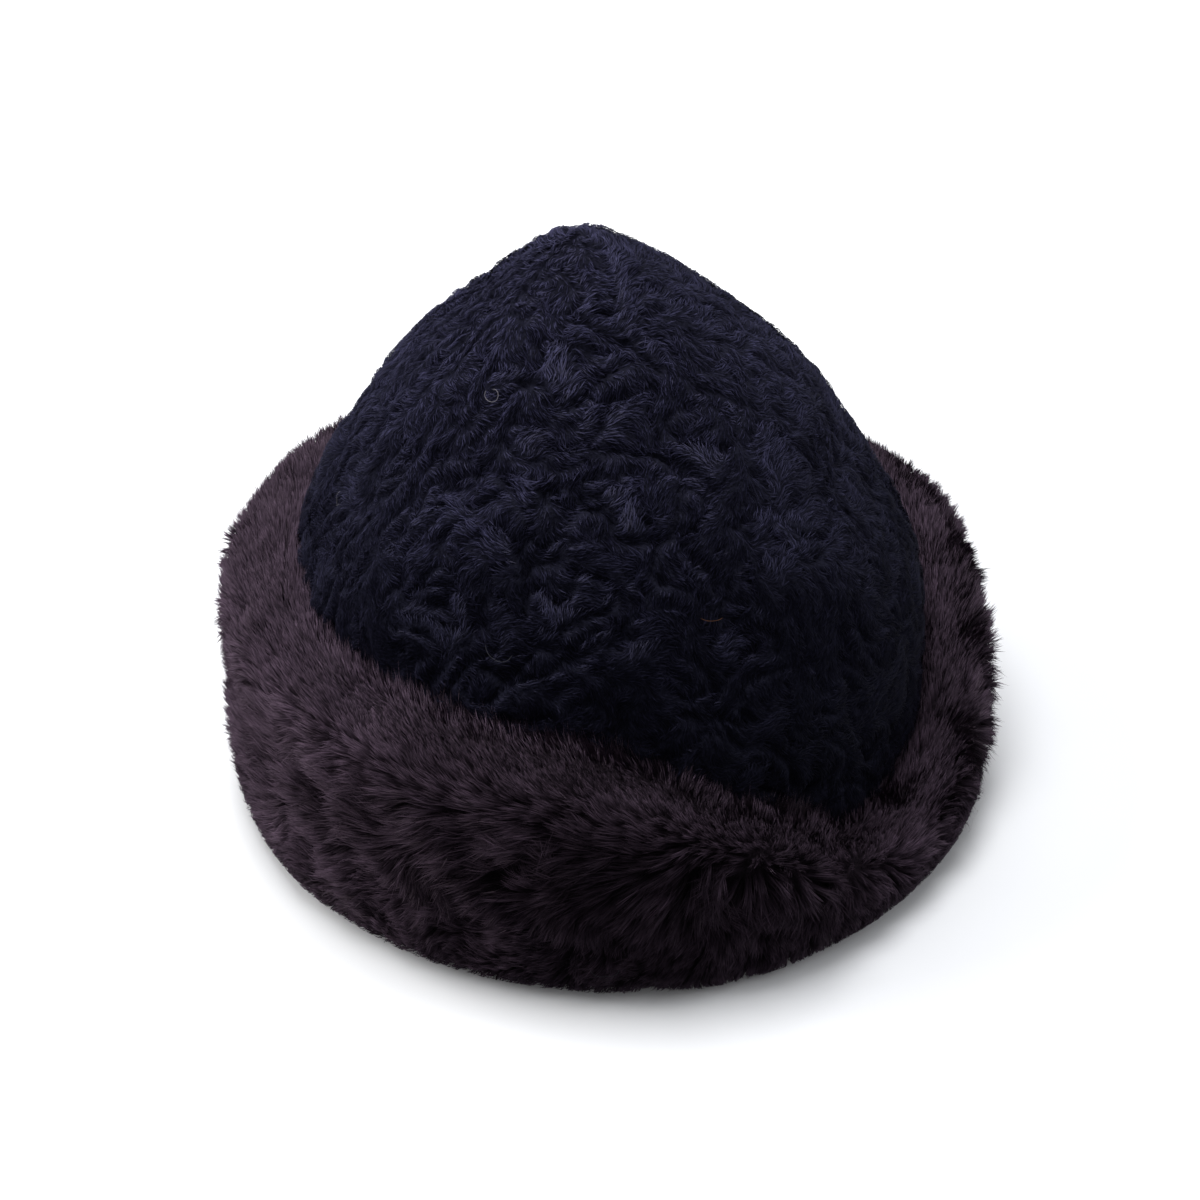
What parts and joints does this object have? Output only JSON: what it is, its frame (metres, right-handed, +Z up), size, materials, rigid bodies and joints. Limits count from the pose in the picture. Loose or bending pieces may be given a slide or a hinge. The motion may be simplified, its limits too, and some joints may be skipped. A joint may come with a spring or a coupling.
{
  "type": "cone-crowned fur hat with turned-up cuff",
  "caption": "Hollow cone-shaped hat crown of short curled fur in a deep turned-up cuff of long fur that dips at the front.",
  "frame": {"origin": "on the surface that the hat stands on, under its middle", "axes": "+Z up through the crown, the cuff's low front towards -Y"},
  "size_m": [0.2622, 0.262, 0.1989],
  "materials": {
    "crown_pile": "short curled pile, blue-black",
    "cuff_fur": "long plush fur, dark brown"
  },
  "bodies": {
    "root": {"crown": "crown_pile", "cuff": "cuff_fur"}
  },
  "joints": []
}
